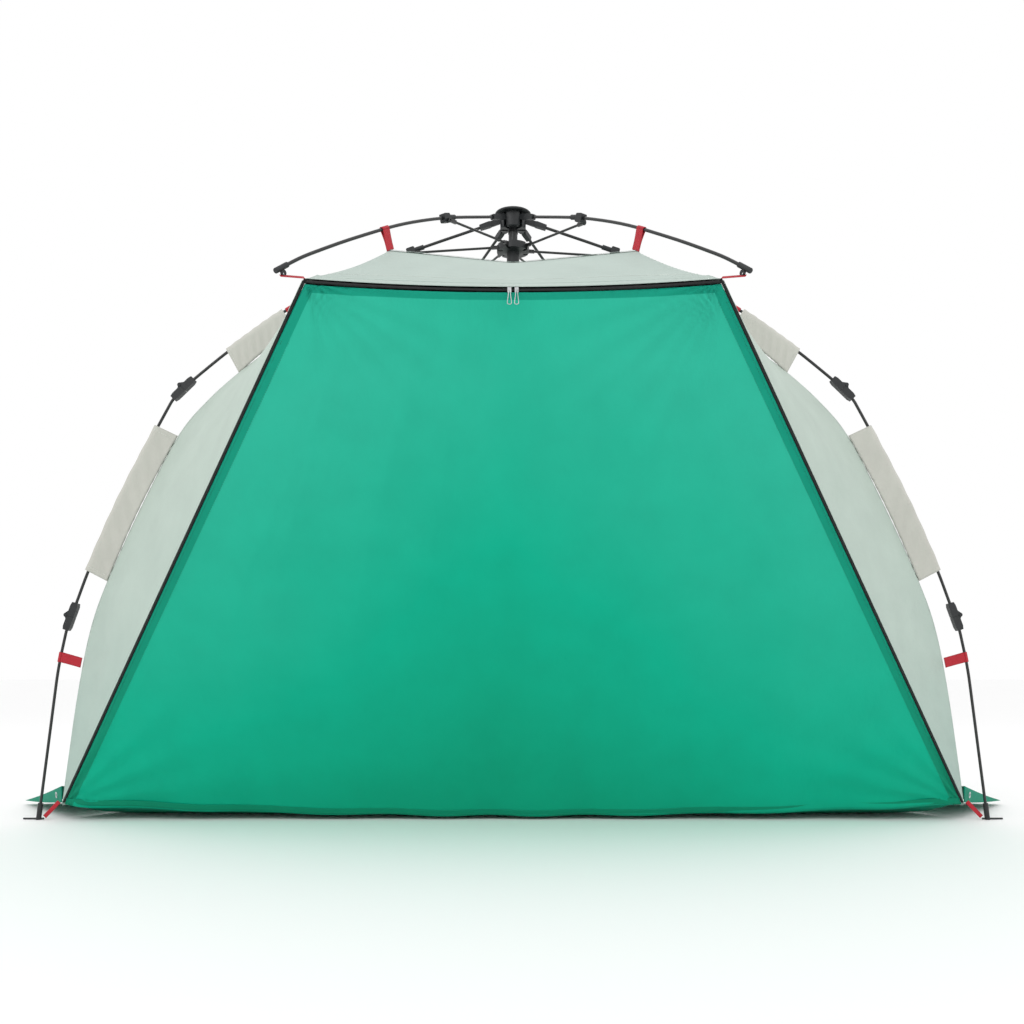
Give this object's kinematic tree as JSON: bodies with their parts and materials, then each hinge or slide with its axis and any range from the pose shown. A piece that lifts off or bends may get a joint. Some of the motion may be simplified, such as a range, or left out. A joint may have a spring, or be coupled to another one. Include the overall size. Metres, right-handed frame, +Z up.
{
  "type": "pop up tent",
  "caption": "Umbrella-hub beach tent with jointed outer legs, overhanging front arms and a zipped front panel that folds down as a porch.",
  "frame": {"origin": "on the ground at the centre of the overall box", "axes": "+X to the tent's left side as its user sits inside facing out, the longest extent; -Y out through the front door; +Z up"},
  "size_m": [3.04, 1.8523, 1.7],
  "materials": {
    "roof_cloth": "pale coated canopy cloth",
    "wall_cloth": "pale mint canopy cloth",
    "door_cloth": "sea green polyester",
    "floor_cloth": "green coated floor cloth",
    "red_webbing": "red woven webbing",
    "zip": "black coil zip",
    "zip_metal": "black enamelled slider",
    "pull_metal": "bright cast loop",
    "pins": "steel rivets",
    "rods": "black glass-fibre rod",
    "black_plastic": "black moulded nylon"
  },
  "bodies": {
    "canopy": {"upper_hub": "black_plastic", "hub_cap": "black_plastic", "upper_hub_pins": "pins", "hub_post": "rods", "roof": "roof_cloth", "front_side_wall_right": "wall_cloth", "front_side_wall_left": "wall_cloth", "rear_side_wall_right": "wall_cloth", "rear_side_wall_left": "wall_cloth", "back_wall": "wall_cloth", "ground_sheet": "floor_cloth", "side_flaps": "floor_cloth", "upper_leg_sleeves": "roof_cloth", "middle_leg_sleeves": "roof_cloth", "roof_ties": "red_webbing", "leg_straps": "red_webbing", "foot_straps": "red_webbing", "corner_eyelets": "pull_metal"},
    "runner": {"lower_hub": "black_plastic", "lower_hub_pins": "pins"},
    "door": {"front_panel": "door_cloth", "zip_tape": "zip"},
    "upper_leg_right": {"upper_leg_rod_right": "rods", "upper_leg_fittings_right": "black_plastic"},
    "middle_leg_right": {"middle_leg_rod_right": "rods", "middle_leg_knuckles_right": "black_plastic"},
    "lower_leg_right": {"lower_leg_rod_right": "rods", "lower_leg_fittings_right": "black_plastic"},
    "upper_leg_left": {"upper_leg_rod_left": "rods", "upper_leg_fittings_left": "black_plastic"},
    "middle_leg_left": {"middle_leg_rod_left": "rods", "middle_leg_knuckles_left": "black_plastic"},
    "lower_leg_left": {"lower_leg_rod_left": "rods", "lower_leg_fittings_left": "black_plastic"},
    "upper_leg_rear_right": {"upper_leg_rod_rear_right": "rods", "upper_leg_fittings_rear_right": "black_plastic"},
    "middle_leg_rear_right": {"middle_leg_rod_rear_right": "rods", "middle_leg_knuckles_rear_right": "black_plastic"},
    "lower_leg_rear_right": {"lower_leg_rod_rear_right": "rods", "lower_leg_fittings_rear_right": "black_plastic"},
    "upper_leg_rear_left": {"upper_leg_rod_rear_left": "rods", "upper_leg_fittings_rear_left": "black_plastic"},
    "middle_leg_rear_left": {"middle_leg_rod_rear_left": "rods", "middle_leg_knuckles_rear_left": "black_plastic"},
    "lower_leg_rear_left": {"lower_leg_rod_rear_left": "rods", "lower_leg_fittings_rear_left": "black_plastic"},
    "brow_right": {"brow_rod_right": "rods", "brow_fittings_right": "black_plastic"},
    "brow_left": {"brow_rod_left": "rods", "brow_fittings_left": "black_plastic"},
    "strut_right": {"strut_right": "rods"},
    "strut_left": {"strut_left": "rods"},
    "strut_rear_right": {"strut_rear_right": "rods"},
    "strut_rear_left": {"strut_rear_left": "rods"},
    "strut_brow_right": {"strut_brow_right": "rods"},
    "strut_brow_left": {"strut_brow_left": "rods"},
    "zip_slider_right": {"zip_slider_right": "zip_metal"},
    "zip_pull_right": {"zip_pull_right": "pull_metal"},
    "zip_slider_left": {"zip_slider_left": "zip_metal"},
    "zip_pull_left": {"zip_pull_left": "pull_metal"}
  },
  "joints": [
    {"name": "frame_fold", "type": "slide", "parent": "canopy", "child": "runner", "axis": [0, 0, -1], "range_m": [0, 0.43223], "deforming": ["roof", "front_side_wall_right", "front_side_wall_left", "rear_side_wall_right", "rear_side_wall_left", "back_wall", "ground_sheet", "side_flaps", "upper_leg_sleeves", "middle_leg_sleeves", "roof_ties", "leg_straps", "foot_straps", "corner_eyelets", "front_panel", "zip_tape"]},
    {"name": "arm_right", "type": "hinge", "parent": "canopy", "child": "upper_leg_right", "pos_m": [0.026, -0.25938, 1.675], "axis": [0, 1, 0], "range_deg": [0, 60.01]},
    {"name": "upper_knuckle_right", "type": "hinge", "parent": "upper_leg_right", "child": "middle_leg_right", "pos_m": [0.92903, -0.25938, 1.21235], "axis": [0, -1, 0], "range_deg": [0, 150.01]},
    {"name": "lower_knuckle_right", "type": "hinge", "parent": "middle_leg_right", "child": "lower_leg_right", "pos_m": [1.24572, -0.25938, 0.57145], "axis": [0, -1, 0], "range_deg": [0, 170.01]},
    {"name": "arm_left", "type": "hinge", "parent": "canopy", "child": "upper_leg_left", "pos_m": [-0.026, -0.25938, 1.675], "axis": [0, -1, 0], "range_deg": [0, 60.01]},
    {"name": "upper_knuckle_left", "type": "hinge", "parent": "upper_leg_left", "child": "middle_leg_left", "pos_m": [-0.92903, -0.25938, 1.21235], "axis": [0, 1, 0], "range_deg": [0, 150.01]},
    {"name": "lower_knuckle_left", "type": "hinge", "parent": "middle_leg_left", "child": "lower_leg_left", "pos_m": [-1.24572, -0.25938, 0.57145], "axis": [0, 1, 0], "range_deg": [0, 170.01]},
    {"name": "arm_rear_right", "type": "hinge", "parent": "canopy", "child": "upper_leg_rear_right", "pos_m": [0.013, -0.23686, 1.675], "axis": [-0.866, 0.5, 0], "range_deg": [0, 60.01]},
    {"name": "upper_knuckle_rear_right", "type": "hinge", "parent": "upper_leg_rear_right", "child": "middle_leg_rear_right", "pos_m": [0.46452, 0.54518, 1.21235], "axis": [0.866, -0.5, 0], "range_deg": [0, 150.01]},
    {"name": "lower_knuckle_rear_right", "type": "hinge", "parent": "middle_leg_rear_right", "child": "lower_leg_rear_right", "pos_m": [0.62286, 0.81944, 0.57145], "axis": [0.866, -0.5, 0], "range_deg": [0, 170.01]},
    {"name": "arm_rear_left", "type": "hinge", "parent": "canopy", "child": "upper_leg_rear_left", "pos_m": [-0.013, -0.23686, 1.675], "axis": [-0.866, -0.5, 0], "range_deg": [0, 60.01]},
    {"name": "upper_knuckle_rear_left", "type": "hinge", "parent": "upper_leg_rear_left", "child": "middle_leg_rear_left", "pos_m": [-0.46452, 0.54518, 1.21235], "axis": [0.866, 0.5, 0], "range_deg": [0, 150.01]},
    {"name": "lower_knuckle_rear_left", "type": "hinge", "parent": "middle_leg_rear_left", "child": "lower_leg_rear_left", "pos_m": [-0.62286, 0.81944, 0.57145], "axis": [0.866, 0.5, 0], "range_deg": [0, 170.01]},
    {"name": "arm_brow_right", "type": "hinge", "parent": "canopy", "child": "brow_right", "pos_m": [0.01601, -0.27987, 1.675], "axis": [0.788, 0.6157, 0], "range_deg": [0, 60.01]},
    {"name": "arm_brow_left", "type": "hinge", "parent": "canopy", "child": "brow_left", "pos_m": [-0.01601, -0.27987, 1.675], "axis": [0.788, -0.6157, 0], "range_deg": [0, 60.01]},
    {"name": "strut_pivot_right", "type": "hinge", "parent": "runner", "child": "strut_right", "pos_m": [0.036, -0.24588, 1.593], "axis": [0, -1, 0], "range_deg": [0, 85.81]},
    {"name": "strut_pivot_left", "type": "hinge", "parent": "runner", "child": "strut_left", "pos_m": [-0.036, -0.27288, 1.593], "axis": [0, 1, 0], "range_deg": [0, 85.81]},
    {"name": "strut_pivot_rear_right", "type": "hinge", "parent": "runner", "child": "strut_rear_right", "pos_m": [0.00631, -0.22145, 1.593], "axis": [0.866, -0.5, 0], "range_deg": [0, 85.81]},
    {"name": "strut_pivot_rear_left", "type": "hinge", "parent": "runner", "child": "strut_rear_left", "pos_m": [-0.02969, -0.23495, 1.593], "axis": [0.866, 0.5, 0], "range_deg": [0, 85.81]},
    {"name": "strut_pivot_brow_right", "type": "hinge", "parent": "runner", "child": "strut_brow_right", "pos_m": [0.0328, -0.27944, 1.593], "axis": [-0.788, -0.6157, 0], "range_deg": [0, 85.81]},
    {"name": "strut_pivot_brow_left", "type": "hinge", "parent": "runner", "child": "strut_brow_left", "pos_m": [-0.01153, -0.29606, 1.593], "axis": [-0.788, 0.6157, 0], "range_deg": [0, 85.81]},
    {"name": "door_open", "type": "hinge", "parent": "canopy", "child": "door", "pos_m": [0, -0.25088, 0.006], "axis": [1, 0, 0], "range_deg": [0, 63.5]},
    {"name": "zip_slide_right", "type": "slide", "parent": "door", "child": "zip_slider_right", "axis": [0.9992, -0.0173, 0.0351], "range_m": [0, 0.42]},
    {"name": "zip_pull_swing_right", "type": "hinge", "parent": "zip_slider_right", "child": "zip_pull_right", "pos_m": [0.008, -0.87383, 1.25876], "axis": [-1, 0, 0], "range_deg": [-20, 120]},
    {"name": "zip_slide_left", "type": "slide", "parent": "door", "child": "zip_slider_left", "axis": [-0.9992, -0.0173, 0.0351], "range_m": [0, 0.42]},
    {"name": "zip_pull_swing_left", "type": "hinge", "parent": "zip_slider_left", "child": "zip_pull_left", "pos_m": [-0.008, -0.87383, 1.25876], "axis": [-1, 0, 0], "range_deg": [-20, 120]}
  ],
  "couplings": [
    {"joint": "arm_right", "follows": "frame_fold", "rad_per_m": 2.4228},
    {"joint": "upper_knuckle_right", "follows": "frame_fold", "rad_per_m": 6.0569},
    {"joint": "lower_knuckle_right", "follows": "frame_fold", "rad_per_m": 6.8645},
    {"joint": "arm_left", "follows": "frame_fold", "rad_per_m": 2.4228},
    {"joint": "upper_knuckle_left", "follows": "frame_fold", "rad_per_m": 6.0569},
    {"joint": "lower_knuckle_left", "follows": "frame_fold", "rad_per_m": 6.8645},
    {"joint": "arm_rear_right", "follows": "frame_fold", "rad_per_m": 2.4228},
    {"joint": "upper_knuckle_rear_right", "follows": "frame_fold", "rad_per_m": 6.0569},
    {"joint": "lower_knuckle_rear_right", "follows": "frame_fold", "rad_per_m": 6.8645},
    {"joint": "arm_rear_left", "follows": "frame_fold", "rad_per_m": 2.4228},
    {"joint": "upper_knuckle_rear_left", "follows": "frame_fold", "rad_per_m": 6.0569},
    {"joint": "lower_knuckle_rear_left", "follows": "frame_fold", "rad_per_m": 6.8645},
    {"joint": "arm_brow_right", "follows": "frame_fold", "rad_per_m": 2.4228},
    {"joint": "arm_brow_left", "follows": "frame_fold", "rad_per_m": 2.4228},
    {"joint": "strut_pivot_right", "follows": "frame_fold", "rad_per_m": 3.4641},
    {"joint": "strut_pivot_left", "follows": "frame_fold", "rad_per_m": 3.4641},
    {"joint": "strut_pivot_rear_right", "follows": "frame_fold", "rad_per_m": 3.4641},
    {"joint": "strut_pivot_rear_left", "follows": "frame_fold", "rad_per_m": 3.4641},
    {"joint": "strut_pivot_brow_right", "follows": "frame_fold", "rad_per_m": 3.4641},
    {"joint": "strut_pivot_brow_left", "follows": "frame_fold", "rad_per_m": 3.4641}
  ]
}
